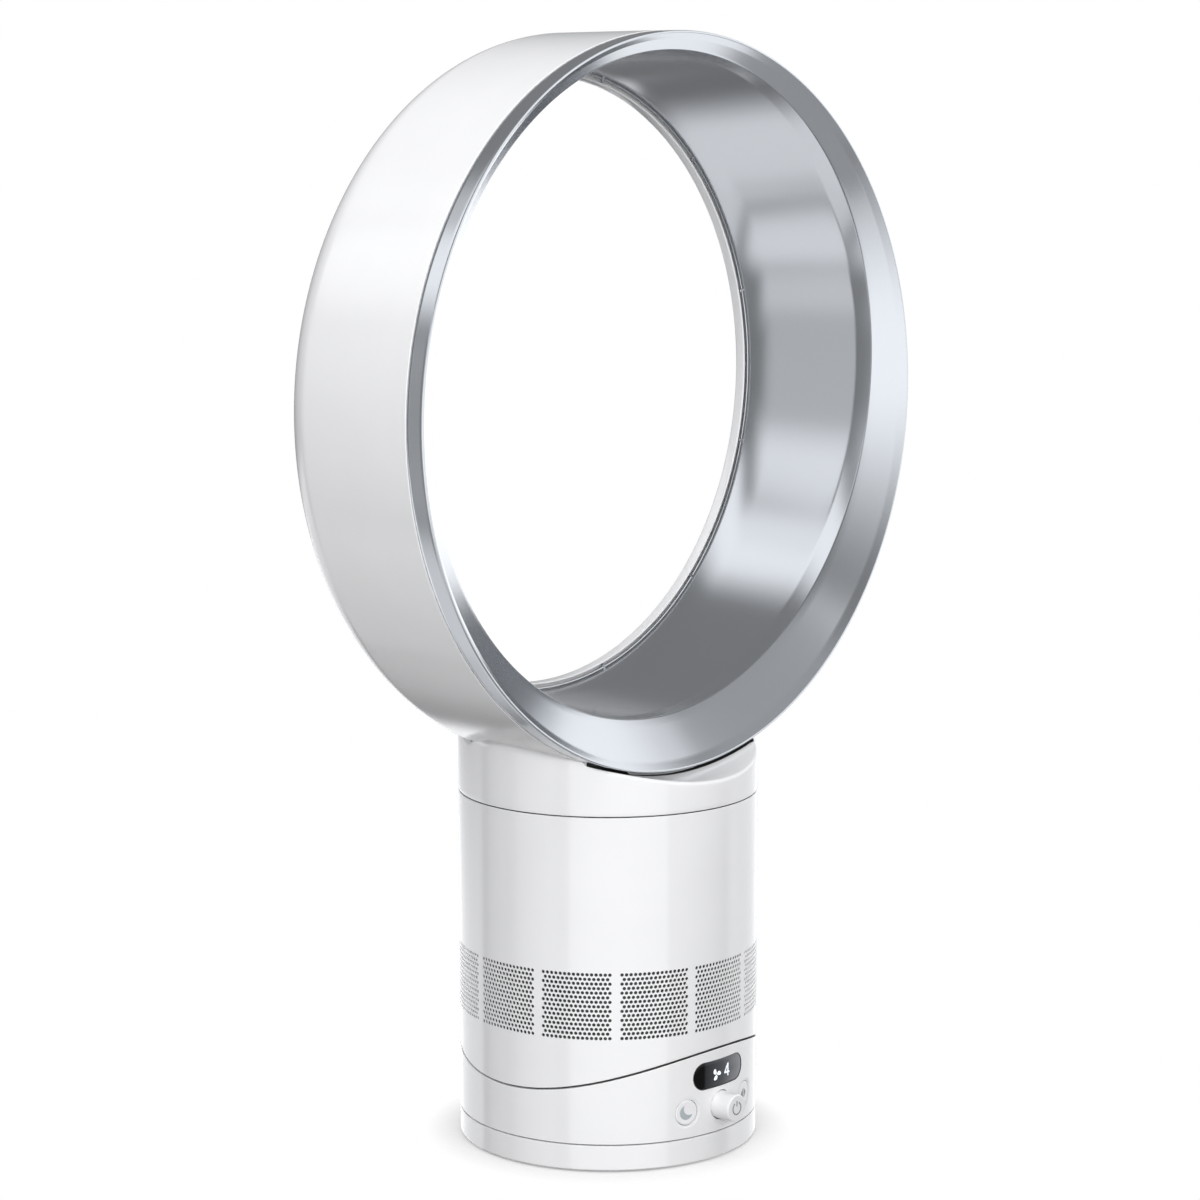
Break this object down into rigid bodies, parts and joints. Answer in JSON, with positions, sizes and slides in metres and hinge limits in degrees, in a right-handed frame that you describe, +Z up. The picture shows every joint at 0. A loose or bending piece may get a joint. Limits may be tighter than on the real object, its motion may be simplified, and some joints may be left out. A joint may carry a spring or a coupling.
{
  "type": "bladeless_fan",
  "caption": "White bladeless desk fan: a silver-lined ring nozzle on a perforated column that oscillates and tilts, with a small display, power knob and two buttons.",
  "frame": {"origin": "on the floor plane, at the middle of the round foot under the column's axis", "axes": "+Z up along the column, -Y out of the fan's front where the display and knob are, +X to the right of a person who looks at that front"},
  "size_m": [0.3564, 0.1596, 0.5473],
  "materials": {
    "white_shell": "glossy white moulded ABS with a very fine orange peel",
    "silver_paint": "semi-gloss silver grey painted ABS",
    "plastic_grey": "matte grey moulded ABS with glass fibre",
    "plastic_black": "matte black moulded nylon",
    "window_black": "polished smoked polycarbonate",
    "acetal_white": "natural white acetal, satin",
    "impeller_ivory": "moulded glass-filled ivory plastic, satin",
    "rubber_black": "matte black elastomer",
    "foam_grey": "open-cell acoustic foam",
    "steel_zinc": "zinc plated steel",
    "motor_copper": "varnished copper windings on a laminated core",
    "board_green": "green solder mask on glass-fibre board"
  },
  "bodies": {
    "foot": {"foot_shell": "white_shell", "foot_pad": "rubber_black", "oscillation_rack": "acetal_white", "rack_screws": "steel_zinc", "thrust_ring": "acetal_white", "pivot_clip": "steel_zinc", "power_inlet": "plastic_black"},
    "control_base": {"base_chassis": "plastic_grey", "pivot_bush": "acetal_white", "control_casing": "white_shell", "tilt_cradle": "plastic_grey", "cradle_screws": "steel_zinc", "display_window": "window_black", "display_board": "board_green", "control_board": "board_green", "oscillation_motor": "steel_zinc", "motor_screws": "steel_zinc", "control_bracket": "plastic_grey", "knob_encoder": "plastic_black", "button_switches": "plastic_black"},
    "oscillation_drive": {"drive_pinion": "acetal_white"},
    "knob_push": {"encoder_pusher": "acetal_white"},
    "knob_turn": {"encoder_shaft": "steel_zinc", "power_knob": "white_shell"},
    "sleep_key": {"sleep_button": "white_shell"},
    "oscillation_key": {"oscillation_button": "white_shell"},
    "fan_head": {"tilt_shoe": "plastic_grey", "shoe_screws": "steel_zinc", "body_casing": "white_shell", "silencer_foam": "foam_grey", "drive_board": "board_green", "inlet_bell": "plastic_grey", "impeller_housing": "plastic_grey", "housing_seal": "rubber_black", "motor_mounts": "rubber_black", "bucket_lower": "plastic_grey", "bucket_upper": "plastic_grey", "diffuser": "plastic_grey", "motor_stator": "motor_copper", "motor_bearings": "steel_zinc", "neck_seal": "rubber_black", "nozzle_outer": "white_shell", "nozzle_inner": "silver_paint"},
    "fan_rotor": {"motor_shaft": "steel_zinc", "motor_rotor": "plastic_black", "impeller": "impeller_ivory", "impeller_nut": "steel_zinc"}
  },
  "joints": [
    {"name": "oscillation", "type": "hinge", "parent": "foot", "child": "control_base", "pos_m": [0, 0, 0.0142], "axis": [0, 0, 1], "range_deg": [-45, 45]},
    {"name": "drive_turn", "type": "hinge", "parent": "control_base", "child": "oscillation_drive", "pos_m": [0, 0.042, 0.0061], "axis": [0, 0, 1], "range_deg": [-280, 280]},
    {"name": "tilt", "type": "hinge", "parent": "control_base", "child": "fan_head", "pos_m": [0, 0, 0.206], "axis": [1, 0, 0], "range_deg": [-10, 10]},
    {"name": "impeller_spin", "type": "hinge", "parent": "fan_head", "child": "fan_rotor", "pos_m": [0, 0, 0.1046], "axis": [0, 0, 1], "continuous": true},
    {"name": "knob_press", "type": "slide", "parent": "control_base", "child": "knob_push", "axis": [0, 1, 0], "range_m": [0, 0.0012], "stiffness_N_per_m": 900, "springref_m": -0.0008},
    {"name": "knob_rotation", "type": "hinge", "parent": "knob_push", "child": "knob_turn", "pos_m": [0, -0.0606, 0.0268], "axis": [0, -1, 0], "continuous": true},
    {"name": "sleep_press", "type": "slide", "parent": "control_base", "child": "sleep_key", "axis": [0.2924, 0.9563, 0], "range_m": [0, 0.001], "stiffness_N_per_m": 900, "springref_m": -0.0008},
    {"name": "oscillation_press", "type": "slide", "parent": "control_base", "child": "oscillation_key", "axis": [-0.2924, 0.9563, 0], "range_m": [0, 0.001], "stiffness_N_per_m": 900, "springref_m": -0.0008}
  ],
  "couplings": [
    {"joint": "drive_turn", "follows": "oscillation", "ratio": -6}
  ]
}
